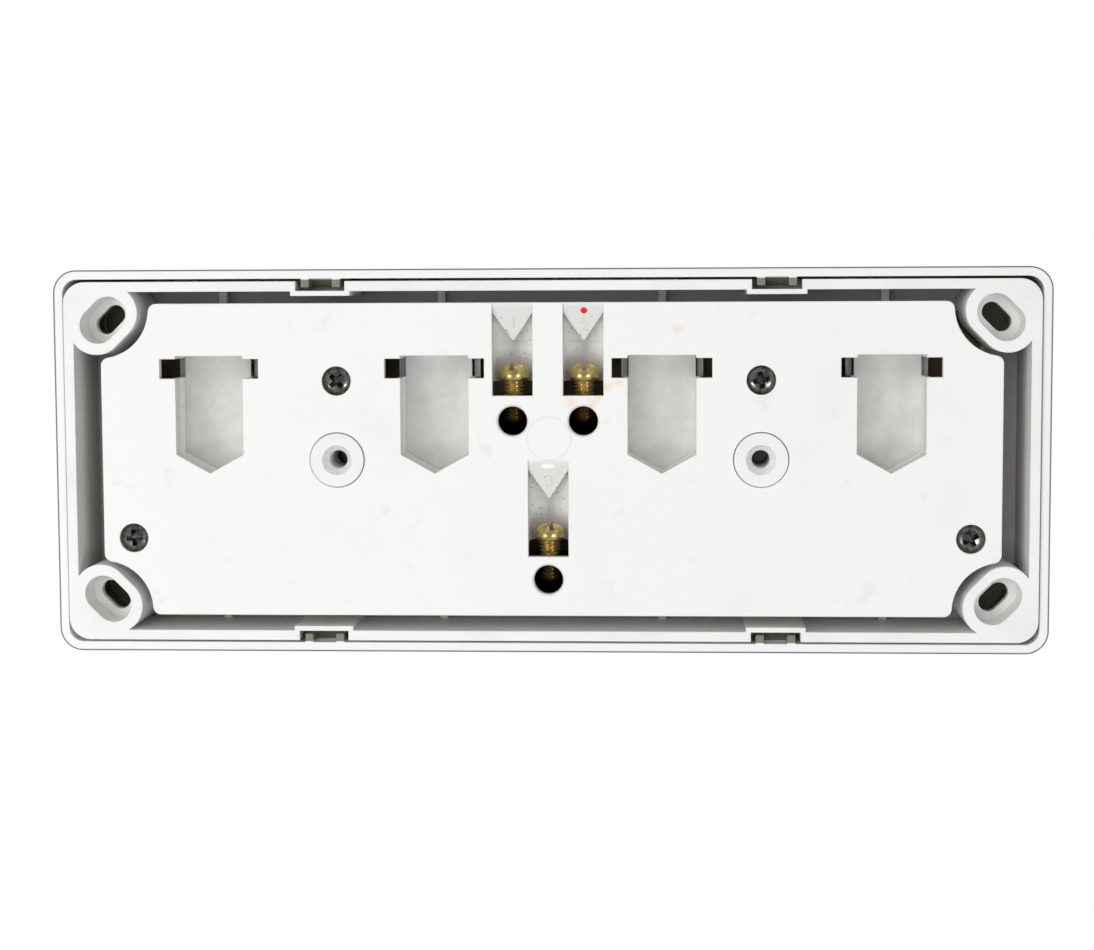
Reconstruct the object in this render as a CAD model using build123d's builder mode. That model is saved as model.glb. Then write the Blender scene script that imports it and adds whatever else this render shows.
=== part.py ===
from build123d import *
from math import cos, radians, sin
import os

# The wall is the XZ plane, the room lies towards -Y and +Z is up. Lengths are in mm.
# A depth is a distance in front of the wall. A sketch at a depth has x across and y up.

# Front cover, the outer shell that clips on
cover_width = 197.2
cover_height = 76.3
cover_depth = 24.0
cover_corner = 4.6
cover_inner_corner = 2.9
cover_wall = 1.85
outline_drop = 0.35
cover_face = 2.2
cover_edge_radius = 2.5
lip_setback = 0.8

# Base frame
frame_play_x = 0.3
frame_play_z = 0.5
frame_corner = 4.3
rim_wall = 2.0
panel_thickness = 2.5
panel_gap = 0.3
block_wall = 1.6
block_inset = 0.6
rib_thickness = 1.6
rib_height = 2.5

# Rear cover plate
side_gap = 5.3
edge_gap = 2.7
plate_setback = 0.4
plate_thickness = 2.0
plate_round = 1.6
notch_radius = 9.8
notch_shift_x = 0.8
notch_shift_z = 2.2

# Slotted corner bosses, all lying across the plate's diagonals
boss_inset_x = 7.95
boss_inset_z = 7.9
boss_slot_width = 3.9
boss_slot_length = 6.7
boss_recess_width = 7.2
boss_recess_length = 10.2
boss_width = 11.0
boss_length = 15.0
boss_web_depth = 6.8
boss_web = 2.0

# Fixing tubes for the two wall screws
fixing_pitch = 84.0
fixing_bore = 3.6
fixing_mouth = 5.9
fixing_funnel = 2.5
tube_diameter = 10.7
head_well_diameter = 8.2
head_well_depth = 3.0

# Screws that hold the rear cover
housing_screw_inner = (42.0, 15.7)
outer_screw_inset = 6.0
outer_screw_z = -15.65
housing_head_diameter = 5.5
housing_head_height = 1.8
housing_shank_diameter = 2.9
housing_shank_length = 11.0
housing_head_sink = 0.1
post_diameter = 7.0
screw_seat = 1.4
seat_diameter = 8.7
seat_play = 0.3
head_play = 0.15
hole_play = 0.15
thread_fit = 0.05

# Sockets and their three pins
socket_count = 4
end_margin = 8.6
socket_z = -8.6
pin_reach_x = 6.86
pin_reach_z = 3.96
earth_reach = 10.31
pin_lean = 30.0
slot_length = 7.0
slot_width = 2.2
pad_width = 27.0
pad_height = 28.6
pad_corner = 6.0
pad_centre_z = -11.0

# Pockets in the rear cover, behind the switches
pocket_width = 13.5
pocket_top = 20.7
pocket_side_end = 1.07
pocket_apex = -2.7
pocket_depth = 9.6
pocket_wall = 1.0
arm_span = 19.8
arm_top = 20.1
arm_bottom = 16.2

# Terminals, each a channel for a driver, a screw, a tunnel block and an entry
line_terminal_x = 7.0
line_channel_bottom = 12.7
earth_channel_top = 0.0
earth_entry_inset = 7.2
earth_entry_reach = 4.6
channel_width = 8.0
channel_wall = 1.0
tongue_end = 0.6
tongue_share = 0.42
tongue_depth = 4.0
shoulder_depth = 1.6
shoulder_foot_depth = 8.0
driver_notch_play = 0.2
entry_diameter = 5.8
entry_chamfer = 0.35
entry_reach = 5.0
terminal_screw_depth = 5.6
terminal_head_diameter = 6.2
terminal_head_height = 3.7
terminal_head_round = 1.5
terminal_thread_diameter = 4.2
terminal_thread_length = 8.0
terminal_tip_chamfer = 0.9
head_to_channel_end = 6.35
driver_slot_width = 1.0
driver_slot_depth = 1.2
driver_cross = 3.6
block_width = 8.0
block_height = 9.0
block_top_gap = 0.3
block_corner = 0.6
block_rear_depth = 2.6
wire_hole_diameter = 6.2
wire_hole_end = 12.2

# Brass strips and contacts
strip_thickness = 0.8
strip_width = 3.0
line_strip_depth = 13.2
switch_strip_depth = 11.2
live_strip_depth = 15.6
active_strip_gap = 0.9
earth_strip_gap = 1.4
neutral_strip_z = -11.5
riser_width = 5.0
clip_gap = 1.7
clip_leaf = 0.6
clip_length = 6.8
clip_front_gap = 0.6
clip_rear_reach = 1.2
live_clip_reach = 3.6
rest_post_diameter = 3.6

# Rocker switches
rocker_wall_gap = 0.4
rocker_pivot_depth = 19.2
rocker_throw = 14.0
window_width = 11.0
window_height = 17.0
rocker_play = 0.35
rocker_proud = 0.6
rocker_skirt = 0.5
rocker_wall = 1.3
trunnion_diameter = 2.4
trunnion_length = 1.5
trunnion_play = 0.08
cheek_thickness = 2.4
cheek_height = 6.5
cheek_reach = 3.5
chamber_wall = 1.25
chamber_inner = 7.0
chamber_depth = 12.2
chamber_low = 4.0
chamber_high = 3.5
spring_tube_diameter = 5.2
spring_bore = 3.5
spring_tube_reach = 3.6
spring_wire = 0.35
spring_turns = 4
plunger_diameter = 3.2
plunger_tip_gap = 0.15
plunger_grip = 1.6

# See-saw contact arms
arm_throw = 12.0
arm_width = 4.0
arm_up = 4.0
arm_down = 7.2
arm_corner = 0.8
arm_rest_gap = 0.05
fulcrum_height = 1.15
fulcrum_width = 1.0
fulcrum_radius = 0.35
fulcrum_play = 0.05
button_diameter = 2.6
button_height = 0.5
button_gap = 0.1

# Clips between front cover and base frame
clip_x = 45.0
clip_box_width = 11.8
clip_box_wall = 1.0
clip_box_recess = 1.9
clip_channel_depth = 9.2
hook_width = 7.8
hook_reach = 1.7
hook_height = 2.6
hook_lead = 2.2
hook_play = 0.2
hook_rib = 1.6

# Places worked out from the sizes above
frame_width = cover_width - 2 * (cover_wall + frame_play_x)
frame_height = cover_height - 2 * (cover_wall + frame_play_z)
panel_front = cover_depth - cover_face - panel_gap
panel_rear = panel_front - panel_thickness
plate_width = frame_width - 2 * (rim_wall + side_gap)
plate_height = frame_height - 2 * (rim_wall + edge_gap)
plate_under = plate_setback + plate_thickness
plate_top_z = plate_height / 2
block_inner_z = plate_top_z - block_inset - block_wall
boss_x = frame_width / 2 - boss_inset_x
boss_z = frame_height / 2 - boss_inset_z
screw_seat_depth = plate_setback + housing_head_sink + housing_head_height
post_depth = screw_seat_depth + screw_seat
line_entry_z = line_channel_bottom - entry_reach
earth_entry_z = earth_entry_inset - plate_top_z
earth_channel_bottom = earth_entry_z + earth_entry_reach
rocker_z = block_inner_z - rocker_wall_gap - window_height / 2
active_strip_z = block_inner_z - active_strip_gap - strip_width / 2
earth_strip_z = earth_strip_gap + strip_width / 2 - block_inner_z
socket_pitch = (cover_width - 2 * end_margin) / socket_count
socket_xs = [(i - (socket_count - 1) / 2) * socket_pitch for i in range(socket_count)]
corners = [(x, z) for x in (-1, 1) for z in (-1, 1)]
fixing_spots = [(-fixing_pitch / 2, 0), (fixing_pitch / 2, 0)]
housing_screw_outer = (plate_width / 2 - outer_screw_inset, outer_screw_z)
housing_screw_spots = [
    (side * x, z) for x, z in (housing_screw_inner, housing_screw_outer) for side in (-1, 1)
]
# Each terminal as name, x, top and bottom of its channel and middle of its entry
terminals = [
    ("neutral", line_terminal_x, plate_top_z, line_channel_bottom, line_entry_z),
    ("active", -line_terminal_x, plate_top_z, line_channel_bottom, line_entry_z),
    ("earth", 0.0, earth_channel_top, earth_channel_bottom, earth_entry_z),
]

os.makedirs("parts", exist_ok=True)


def depth_plane(depth):
    """Sketch plane parallel to the wall, at a depth in front of it."""
    return Plane.XZ.offset(depth)


def write(part, name):
    """Label one finished piece and write it to its own file."""
    part.label = name
    export_step(part, f"parts/{name}.step")


def corner_lean(x_side, z_side):
    """Angle of a boss slot that lies across the diagonal of its corner."""
    return -45 * x_side * z_side


# Outline of the rear cover, with a round notch at each corner boss
with BuildSketch(Plane.XY) as plate_outline:
    Rectangle(plate_width, plate_height)
    with Locations(*[(x * (boss_x + notch_shift_x), z * (boss_z + notch_shift_z)) for x, z in corners]):
        Circle(notch_radius, mode=Mode.SUBTRACT)
    fillet(plate_outline.vertices(), plate_round)

# Outline of the base frame, a little lower than the plate and its screw holes
with BuildSketch(Plane.XY) as frame_outline:
    with Locations((0, -outline_drop)):
        RectangleRounded(frame_width, frame_height, frame_corner)

# Outline of one pocket, a box with a pointed foot
with BuildSketch(Plane.XY) as pocket_outline:
    with BuildLine():
        Polyline(
            (-pocket_width / 2, pocket_top),
            (pocket_width / 2, pocket_top),
            (pocket_width / 2, pocket_side_end),
            (0, pocket_apex),
            (-pocket_width / 2, pocket_side_end),
            close=True,
        )
    make_face()

# Front cover
inner_height = cover_height - 2 * cover_wall
with BuildPart() as front_cover:
    with BuildSketch(depth_plane(lip_setback)):
        with Locations((0, -outline_drop)):
            RectangleRounded(cover_width, cover_height, cover_corner)
    extrude(amount=cover_depth - lip_setback)
    fillet(front_cover.faces().sort_by(Axis.Y)[0].edges(), cover_edge_radius)
    with BuildSketch(depth_plane(lip_setback)):
        with Locations((0, -outline_drop)):
            RectangleRounded(cover_width - 2 * cover_wall, inner_height, cover_inner_corner)
    extrude(amount=cover_depth - cover_face - lip_setback, mode=Mode.SUBTRACT)
    with BuildSketch(depth_plane(cover_depth)):
        with Locations(*[(x, pad_centre_z) for x in socket_xs]):
            RectangleRounded(pad_width + 2 * panel_gap, pad_height + 2 * panel_gap, pad_corner + panel_gap)
        with Locations(*[(x, rocker_z) for x in socket_xs]):
            Rectangle(window_width, window_height)
    extrude(amount=-2 * cover_face, mode=Mode.SUBTRACT)
    for x_side, z_side in corners:
        hook_front = clip_channel_depth - hook_play
        hook_rear = hook_front - hook_height
        wall_z = z_side * inner_height / 2 - outline_drop
        tip_z = z_side * (inner_height / 2 - hook_reach) - outline_drop
        root_z = z_side * (inner_height / 2 + cover_wall / 2) - outline_drop
        with BuildSketch(Plane.YZ.offset(x_side * clip_x)):
            with BuildLine():
                Polyline(
                    (-hook_front, root_z),
                    (-hook_front, tip_z),
                    (-hook_rear, tip_z),
                    (-(hook_rear - hook_lead), wall_z),
                    (-(hook_rear - hook_lead), root_z),
                    close=True,
                )
            make_face()
        extrude(amount=hook_width / 2, both=True)
        for rib_side in (-1, 1):
            rib_x = x_side * clip_x + rib_side * (hook_width - hook_rib) / 2
            with BuildSketch(depth_plane(lip_setback)):
                with Locations((rib_x, (root_z + tip_z) / 2)):
                    Rectangle(hook_rib, abs(root_z - tip_z))
            extrude(amount=hook_rear - lip_setback)
write(front_cover.part, "front_cover")

# Base frame
with BuildPart() as base_frame:
    with BuildSketch(depth_plane(0)):
        add(frame_outline.sketch)
        offset(amount=-rim_wall, mode=Mode.SUBTRACT)
    extrude(amount=panel_rear)
    with BuildSketch(depth_plane(panel_rear)):
        add(frame_outline.sketch)
    extrude(amount=panel_thickness)
    # Block wall under the rear cover
    with BuildSketch(depth_plane(plate_under)):
        add(plate_outline.sketch)
        offset(amount=-block_inset, mode=Mode.REPLACE)
        offset(amount=-block_wall, mode=Mode.SUBTRACT)
    extrude(amount=panel_rear - plate_under)
    # Corner bosses, fixing tubes and screw posts
    for x_side, z_side in corners:
        with BuildSketch(depth_plane(0)):
            with Locations((x_side * boss_x, z_side * boss_z)):
                SlotOverall(boss_length, boss_width, rotation=corner_lean(x_side, z_side))
            with Locations((x_side * (boss_x + boss_width / 2), z_side * (boss_z + boss_width / 2))):
                Rectangle(boss_width, boss_width)
            add(frame_outline.sketch, mode=Mode.INTERSECT)
        extrude(amount=panel_rear)
    with BuildSketch(depth_plane(0)):
        with Locations(*fixing_spots):
            Circle(tube_diameter / 2)
    extrude(amount=panel_rear)
    with BuildSketch(depth_plane(post_depth)):
        with Locations(*housing_screw_spots):
            Circle(post_diameter / 2)
    extrude(amount=panel_rear - post_depth)
    # Ribs across the gap beside each socket
    rib_inner = plate_height / 2 - block_inset - block_wall / 2
    rib_length = frame_height / 2 + outline_drop - rim_wall / 2 - rib_inner
    rib_z = rib_inner + rib_length / 2
    with BuildSketch(depth_plane(panel_rear - rib_height)):
        with Locations(*[(x, side * rib_z) for x in socket_xs for side in (-1, 1)]):
            Rectangle(rib_thickness, rib_length)
        add(frame_outline.sketch, mode=Mode.INTERSECT)
    extrude(amount=rib_height)
    # Rests under the brass strips
    with BuildSketch(depth_plane(line_strip_depth + strip_thickness)):
        with Locations(
            *[(side * clip_x, neutral_strip_z) for side in (-1, 1)],
            *[(side * clip_x, earth_strip_z) for side in (-1, 1)],
        ):
            Circle(rest_post_diameter / 2)
    extrude(amount=panel_rear - line_strip_depth - strip_thickness)
    with BuildSketch(depth_plane(switch_strip_depth + strip_thickness)):
        with Locations(*[(side * clip_x, active_strip_z) for side in (-1, 1)]):
            Circle(rest_post_diameter / 2)
    extrude(amount=panel_rear - switch_strip_depth - strip_thickness)
    with BuildSketch(depth_plane(live_strip_depth + strip_thickness)):
        with Locations(*[(x - pin_reach_x, line_channel_bottom / 2) for x in socket_xs]):
            Circle(rest_post_diameter / 2)
    extrude(amount=panel_rear - live_strip_depth - strip_thickness)
    # Clip boxes on the inner side of the rim, and the channels that take the cover's hooks
    for x_side, z_side in corners:
        box_reach = clip_box_recess + clip_box_wall
        box_z = z_side * (frame_height - box_reach) / 2 - outline_drop
        with BuildSketch(depth_plane(0)):
            with Locations((x_side * clip_x, box_z)):
                Rectangle(clip_box_width, box_reach)
        extrude(amount=panel_rear)
        cut_z = z_side * (frame_height - clip_box_recess) / 2 - outline_drop
        with BuildSketch(depth_plane(0)):
            with Locations((x_side * clip_x, cut_z)):
                Rectangle(clip_box_width - 2 * clip_box_wall, clip_box_recess)
        extrude(amount=clip_channel_depth, mode=Mode.SUBTRACT)
    # Socket faces that stand in the windows of the front cover
    with BuildSketch(depth_plane(panel_front)):
        with Locations(*[(x, pad_centre_z) for x in socket_xs]):
            RectangleRounded(pad_width, pad_height, pad_corner)
    extrude(amount=cover_depth - panel_front)
    # Cheeks that carry the rocker trunnions
    with BuildSketch(depth_plane(panel_rear - cheek_reach)):
        cheek_x = (window_width + cheek_thickness) / 2
        with Locations(*[(x + side * cheek_x, rocker_z) for x in socket_xs for side in (-1, 1)]):
            Rectangle(cheek_thickness, cheek_height)
    extrude(amount=cheek_reach)
    # Walls of the chamber behind each rocker
    with BuildSketch(depth_plane(chamber_depth)):
        for x in socket_xs:
            for side in (-1, 1):
                wall_x = x + side * (chamber_inner + chamber_wall / 2)
                with Locations((wall_x, rocker_z + (chamber_high - chamber_low) / 2)):
                    Rectangle(chamber_wall, chamber_low + chamber_high)
    extrude(amount=panel_rear - chamber_depth)
    # Openings in bosses, tubes and posts
    for x_side, z_side in corners:
        lean = corner_lean(x_side, z_side)
        spot = (x_side * boss_x, z_side * boss_z)
        with BuildSketch(depth_plane(0)):
            with Locations(spot):
                SlotOverall(boss_recess_length, boss_recess_width, rotation=lean)
        extrude(amount=boss_web_depth, mode=Mode.SUBTRACT)
        with BuildSketch(depth_plane(boss_web_depth + boss_web)):
            with Locations(spot):
                SlotOverall(boss_recess_length, boss_recess_width, rotation=lean)
        extrude(amount=panel_front, mode=Mode.SUBTRACT)
        with BuildSketch(depth_plane(0)):
            with Locations(spot):
                SlotOverall(boss_slot_length, boss_slot_width, rotation=lean)
        extrude(amount=panel_front, mode=Mode.SUBTRACT)
    with BuildSketch(depth_plane(0)):
        with Locations(*fixing_spots):
            Circle(fixing_bore / 2)
    extrude(amount=panel_front, mode=Mode.SUBTRACT)
    for x, z in fixing_spots:
        with BuildSketch(depth_plane(0)):
            with Locations((x, z)):
                Circle(fixing_mouth / 2)
        with BuildSketch(depth_plane(fixing_funnel)):
            with Locations((x, z)):
                Circle(fixing_bore / 2)
        loft(mode=Mode.SUBTRACT)
    with BuildSketch(depth_plane(panel_front - head_well_depth)):
        with Locations(*fixing_spots):
            Circle(head_well_diameter / 2)
    extrude(amount=head_well_depth, mode=Mode.SUBTRACT)
    with BuildSketch(depth_plane(post_depth)):
        with Locations(*housing_screw_spots):
            Circle(housing_shank_diameter / 2 + thread_fit)
    extrude(amount=housing_shank_length, mode=Mode.SUBTRACT)
    # Pin slots, rocker windows and the open seats of the trunnions
    with BuildSketch(depth_plane(panel_rear)):
        for x in socket_xs:
            for side in (-1, 1):
                with Locations((x + side * pin_reach_x, socket_z + pin_reach_z)):
                    Rectangle(slot_width, slot_length, rotation=side * pin_lean)
            with Locations((x, socket_z - earth_reach)):
                Rectangle(slot_width, slot_length)
            with Locations((x, rocker_z)):
                Rectangle(window_width, window_height)
    extrude(amount=cover_depth, mode=Mode.SUBTRACT)
    seat_width = trunnion_diameter + 2 * trunnion_play
    seat_span = window_width + 2 * (trunnion_length + trunnion_play)
    for x in socket_xs:
        with BuildSketch(Plane.YZ.offset(x)):
            with Locations((-rocker_pivot_depth, rocker_z)):
                Circle(seat_width / 2)
            with Locations((-(rocker_pivot_depth - cheek_reach / 2 - 1), rocker_z)):
                Rectangle(cheek_reach + 2, seat_width)
        extrude(amount=seat_span / 2, both=True, mode=Mode.SUBTRACT)
    # Room in the block wall for the screw seats of the rear cover
    with BuildSketch(depth_plane(plate_under)):
        with Locations(*housing_screw_spots):
            Circle(seat_diameter / 2 + seat_play)
    extrude(amount=post_depth - plate_under, mode=Mode.SUBTRACT)
    # Way through the block wall for the troughs of the two line terminals
    trough_under = terminal_screw_depth + channel_width / 2 + channel_wall
    with BuildSketch(depth_plane(plate_under)):
        with Locations(*[(side * line_terminal_x, plate_top_z - block_inset) for side in (-1, 1)]):
            Rectangle(channel_width + 2 * (channel_wall + driver_notch_play), 3 * block_wall)
    extrude(amount=trough_under + driver_notch_play - plate_under, mode=Mode.SUBTRACT)
write(base_frame.part, "base_frame")


def trough(x, top_z, end_z, margin):
    """Round-bottomed trough along Z, grown sideways by a margin."""
    radius = channel_width / 2 + margin
    with BuildPart() as body:
        with BuildSketch(Plane.XY.offset(end_z)):
            with Locations((x, -terminal_screw_depth)):
                Circle(radius)
            with Locations((x, -(plate_setback + terminal_screw_depth) / 2)):
                Rectangle(2 * radius, terminal_screw_depth - plate_setback)
        extrude(amount=top_z - end_z)
    return body.part


def slope(x, top_z, foot_z, top_depth, foot_depth, pointed):
    """Fill in a trough from one depth at its top to another at its foot, full width or a pointed tongue."""
    half = channel_width / 2 + channel_wall
    with BuildPart() as body:
        add(trough(x, top_z, foot_z, channel_wall / 2))
        if pointed:
            with BuildSketch(depth_plane(0)):
                with BuildLine():
                    Polyline(
                        (x - half, top_z),
                        (x - half, top_z - tongue_end),
                        (x, foot_z),
                        (x + half, top_z - tongue_end),
                        (x + half, top_z),
                        close=True,
                    )
                make_face()
            extrude(amount=cover_depth, mode=Mode.INTERSECT)
        with BuildSketch(Plane.YZ.offset(x)):
            with BuildLine():
                Polyline((0, top_z), (-top_depth, top_z), (-foot_depth, foot_z), (0, foot_z), close=True)
            make_face()
        extrude(amount=half, both=True, mode=Mode.SUBTRACT)
    return body.part


# Rear cover
with BuildPart() as rear_cover:
    with BuildSketch(depth_plane(plate_setback)):
        add(plate_outline.sketch)
    extrude(amount=plate_thickness)
    # Pocket boxes and screw seats under the plate
    for x in socket_xs:
        with BuildSketch(depth_plane(plate_setback)):
            with Locations((x, 0)):
                add(pocket_outline.sketch)
            offset(amount=pocket_wall, kind=Kind.INTERSECTION)
        extrude(amount=pocket_depth + pocket_wall)
    with BuildSketch(depth_plane(plate_setback)):
        with Locations(*housing_screw_spots):
            Circle(seat_diameter / 2)
    extrude(amount=post_depth - plate_setback)
    # Troughs that guide a driver down to each terminal screw, and the round entries
    for name, x, top_z, bottom_z, entry_z in terminals:
        end_z = bottom_z + head_to_channel_end - terminal_head_height
        add(trough(x, top_z, end_z, channel_wall))
        add(trough(x, top_z, end_z, 0), mode=Mode.SUBTRACT)
        foot_z = top_z - tongue_share * (top_z - bottom_z)
        add(slope(x, top_z, foot_z, shoulder_depth, shoulder_foot_depth, False))
        add(slope(x, top_z, foot_z, plate_setback, tongue_depth, True))
        with BuildSketch(depth_plane(plate_setback)):
            with Locations((x, (end_z + bottom_z) / 2)):
                Rectangle(channel_width, end_z - bottom_z)
            with Locations((x, entry_z)):
                Circle(entry_diameter / 2)
        extrude(amount=plate_thickness, mode=Mode.SUBTRACT)
        with BuildSketch(depth_plane(plate_setback)):
            with Locations((x, entry_z)):
                Circle(entry_diameter / 2 + entry_chamfer)
        extrude(amount=entry_chamfer, taper=45, mode=Mode.SUBTRACT)
    # Pocket hollows and the arms that open beside each pocket
    arm_reach = (arm_span - pocket_width) / 2
    arm_x = (arm_span + pocket_width) / 4
    for x in socket_xs:
        with BuildSketch(depth_plane(plate_setback)):
            with Locations((x, 0)):
                add(pocket_outline.sketch)
        extrude(amount=pocket_depth, mode=Mode.SUBTRACT)
        with BuildSketch(depth_plane(plate_setback)):
            with Locations(*[(x + side * arm_x, (arm_top + arm_bottom) / 2) for side in (-1, 1)]):
                Rectangle(arm_reach, arm_top - arm_bottom)
        extrude(amount=pocket_depth + pocket_wall, mode=Mode.SUBTRACT)
    # Holes for the fixing tubes and the housing screws
    with BuildSketch(depth_plane(plate_setback)):
        with Locations(*fixing_spots):
            Circle(tube_diameter / 2 + hole_play)
    extrude(amount=plate_thickness, mode=Mode.SUBTRACT)
    with BuildSketch(depth_plane(plate_setback)):
        with Locations(*housing_screw_spots):
            Circle(housing_head_diameter / 2 + head_play)
    extrude(amount=screw_seat_depth - plate_setback, mode=Mode.SUBTRACT)
    with BuildSketch(depth_plane(screw_seat_depth)):
        with Locations(*housing_screw_spots):
            Circle(housing_shank_diameter / 2 + hole_play)
    extrude(amount=screw_seat, mode=Mode.SUBTRACT)
write(rear_cover.part, "rear_cover")

# Screws that hold the rear cover
with BuildPart() as housing_screw:
    with BuildSketch(Plane.XY):
        Circle(housing_head_diameter / 2)
    extrude(amount=housing_head_height)
    fillet(housing_screw.edges().sort_by(Axis.Z)[-1], 0.7)
    with BuildSketch(Plane.XY):
        Circle(housing_shank_diameter / 2)
    extrude(amount=-housing_shank_length)
    chamfer(housing_screw.edges().sort_by(Axis.Z)[0], 0.8)
    with BuildSketch(Plane.XY.offset(housing_head_height)):
        Rectangle(3.2, 0.8)
        Rectangle(0.8, 3.2)
    extrude(amount=-1.2, taper=12, mode=Mode.SUBTRACT)
for number, (x, z) in enumerate(housing_screw_spots, 1):
    place = Location((x, -screw_seat_depth, z), (-90, 0, 0))
    write(housing_screw.part.moved(place), f"housing_screw_{number}")

# Terminal screws, heads up, their tips in the wire holes
with BuildPart() as terminal_screw:
    with BuildSketch(Plane.XY):
        Circle(terminal_head_diameter / 2)
    extrude(amount=-terminal_head_height)
    fillet(terminal_screw.edges().group_by(Axis.Z)[-1], terminal_head_round)
    fillet(terminal_screw.edges().group_by(Axis.Z)[0], terminal_head_round)
    with BuildSketch(Plane.XY.offset(-terminal_head_height)):
        Circle(terminal_thread_diameter / 2)
    extrude(amount=-terminal_thread_length)
    chamfer(terminal_screw.edges().group_by(Axis.Z)[0], terminal_tip_chamfer)
    with BuildSketch(Plane.XY):
        Rectangle(terminal_head_diameter, driver_slot_width)
        Rectangle(driver_slot_width, driver_cross)
    extrude(amount=-driver_slot_depth, mode=Mode.SUBTRACT)

# Tunnel blocks, with the wire hole towards the wall and the screw hole on top
for name, x, top_z, bottom_z, entry_z in terminals:
    block_top = bottom_z - block_top_gap
    with BuildPart() as terminal_block:
        with BuildSketch(depth_plane(block_rear_depth)):
            with Locations((x, block_top - block_height / 2)):
                RectangleRounded(block_width, block_height, block_corner)
        extrude(amount=line_strip_depth - block_rear_depth)
        with BuildSketch(depth_plane(block_rear_depth)):
            with Locations((x, entry_z)):
                Circle(wire_hole_diameter / 2)
        extrude(amount=wire_hole_end - block_rear_depth, mode=Mode.SUBTRACT)
        with BuildSketch(Plane.XY.offset(block_top)):
            with Locations((x, -terminal_screw_depth)):
                Circle(terminal_thread_diameter / 2 + thread_fit)
        extrude(amount=-(block_top - entry_z), mode=Mode.SUBTRACT)
    write(terminal_block.part, f"{name}_terminal")
    place = Location((x, -terminal_screw_depth, bottom_z + head_to_channel_end))
    write(terminal_screw.part.moved(place), f"{name}_terminal_screw")


def pin_clip(x, z, lean, web_side, rear):
    """Two leaves that grip a flat pin, from a depth up to the panel, and the web that joins them."""
    with BuildSketch(depth_plane(rear)) as leaves:
        with Locations(Location((x, z, 0), (0, 0, lean))):
            with Locations((0, web_side * clip_leaf / 2)):
                Rectangle(clip_gap + 2 * clip_leaf, clip_length + clip_leaf)
            with Locations((0, -web_side * clip_leaf / 2)):
                Rectangle(clip_gap, clip_length + clip_leaf, mode=Mode.SUBTRACT)
    extrude(leaves.sketch, amount=panel_rear - clip_front_gap - rear)


def strip(x_from, z_from, x_to, z_to, depth):
    """Flat strip between two corners of a rectangle, one strip thickness deep."""
    with BuildSketch(depth_plane(depth)) as flat:
        with Locations(((x_from + x_to) / 2, (z_from + z_to) / 2)):
            Rectangle(abs(x_to - x_from), abs(z_to - z_from))
    extrude(flat.sketch, amount=strip_thickness)


line_z = socket_z + pin_reach_z
earth_z = socket_z - earth_reach
web_reach = clip_length / 2 + clip_leaf
clip_rear = line_strip_depth - clip_rear_reach
first_x = socket_xs[0]
last_x = socket_xs[-1]

# Neutral busbar
with BuildPart() as neutral_busbar:
    neutral_top = neutral_strip_z + strip_width / 2
    tab_x = pin_reach_x + web_reach * sin(radians(pin_lean))
    neutral_low = neutral_strip_z - strip_width / 2
    strip(first_x + tab_x - 2, neutral_low, last_x + tab_x + 2, neutral_top, line_strip_depth)
    strip(
        line_terminal_x - riser_width / 2,
        neutral_strip_z,
        line_terminal_x + riser_width / 2,
        line_channel_bottom - 1.0,
        line_strip_depth,
    )
    for x in socket_xs:
        web_z = line_z - (web_reach - clip_leaf / 2) * cos(radians(pin_lean))
        strip(x + tab_x - 1.4, neutral_strip_z, x + tab_x + 1.0, web_z, line_strip_depth)
        pin_clip(x + pin_reach_x, line_z, pin_lean, -1, clip_rear)
write(neutral_busbar.part, "neutral_busbar")

# Earth busbar
with BuildPart() as earth_busbar:
    half = strip_width / 2
    strip(first_x - 2, earth_strip_z - half, last_x + 2, earth_strip_z + half, line_strip_depth)
    for x in socket_xs:
        strip(x - 1.4, earth_strip_z, x + 1.4, earth_z - web_reach + clip_leaf / 2, line_strip_depth)
        pin_clip(x, earth_z, 0, -1, clip_rear)
write(earth_busbar.part, "earth_busbar")

# Active busbar, with a round-topped edge under each contact arm
knife_depth = switch_strip_depth + strip_thickness
with BuildPart() as active_busbar:
    half = strip_width / 2
    strip_low = active_strip_z - strip_width / 2
    strip_high = active_strip_z + strip_width / 2
    arm_half = arm_width / 2
    strip(first_x - arm_half, strip_low, last_x + arm_half, strip_high, switch_strip_depth)
    strip(
        -line_terminal_x - riser_width / 2,
        line_channel_bottom - 0.3,
        -line_terminal_x + riser_width / 2,
        active_strip_z,
        switch_strip_depth,
    )
    for x in socket_xs:
        edge = rocker_z - fulcrum_width / 2
        strip(x - arm_width / 2, edge, x + arm_width / 2, active_strip_z, switch_strip_depth)
        with BuildSketch(Plane.YZ.offset(x)):
            with BuildLine():
                Polyline(
                    (-knife_depth, edge),
                    (-knife_depth - fulcrum_height, rocker_z - fulcrum_radius),
                    (-knife_depth - fulcrum_height, rocker_z + fulcrum_radius),
                    (-knife_depth, edge + fulcrum_width),
                    close=True,
                )
            make_face()
            with Locations((-knife_depth - fulcrum_height, rocker_z)):
                Circle(fulcrum_radius)
        extrude(amount=arm_width / 2, both=True)
write(active_busbar.part, "active_busbar")

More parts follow.
